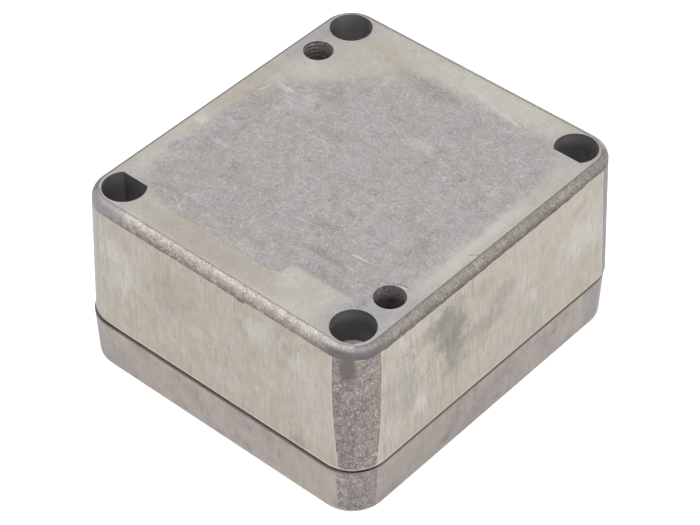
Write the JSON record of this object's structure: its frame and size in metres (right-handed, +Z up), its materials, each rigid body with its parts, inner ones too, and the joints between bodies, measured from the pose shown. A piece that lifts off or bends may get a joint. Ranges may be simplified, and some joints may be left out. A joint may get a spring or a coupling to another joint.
{
  "type": "die cast aluminium box",
  "caption": "Small sealed die cast aluminium box standing upside down on its screwed lid, with cored corner pockets and diagonal wall mounting holes in its underside.",
  "frame": {"origin": "middle of the whole box on the plane that it stands on, the lid's outer face", "axes": "+Z up, from the lid's outer face to the underside of the base; +Y along the longer side; +X along the shorter side"},
  "size_m": [0.058, 0.0644, 0.0335],
  "materials": {
    "base_casting": "raw die casting with belt-sanded flat sides and rough as-cast corners",
    "lid_casting": "raw die casting, sanded, darker than the base",
    "gasket_rubber": "matt black rubber",
    "screw_steel": "turned stainless steel"
  },
  "bodies": {
    "lid": {"lid": "lid_casting", "gasket": "gasket_rubber"},
    "base": {"base": "base_casting"},
    "screw_front": {"lid_screw_front": "screw_steel"},
    "screw_right": {"lid_screw_right": "screw_steel"},
    "screw_back": {"lid_screw_back": "screw_steel"},
    "screw_left": {"lid_screw_left": "screw_steel"}
  },
  "joints": [
    {"name": "base_lift", "type": "slide", "parent": "lid", "child": "base", "axis": [0, 0, 1], "range_m": [0, 0.02]},
    {"name": "screw_front_turn", "type": "hinge", "parent": "lid", "child": "screw_front", "pos_m": [0.023, -0.02585, 0.0036], "axis": [0, 0, 1], "continuous": true},
    {"name": "screw_right_turn", "type": "hinge", "parent": "lid", "child": "screw_right", "pos_m": [0.023, 0.02615, 0.0036], "axis": [0, 0, 1], "continuous": true},
    {"name": "screw_back_turn", "type": "hinge", "parent": "lid", "child": "screw_back", "pos_m": [-0.023, 0.02615, 0.0036], "axis": [0, 0, 1], "continuous": true},
    {"name": "screw_left_turn", "type": "hinge", "parent": "lid", "child": "screw_left", "pos_m": [-0.023, -0.02585, 0.0036], "axis": [0, 0, 1], "continuous": true}
  ]
}
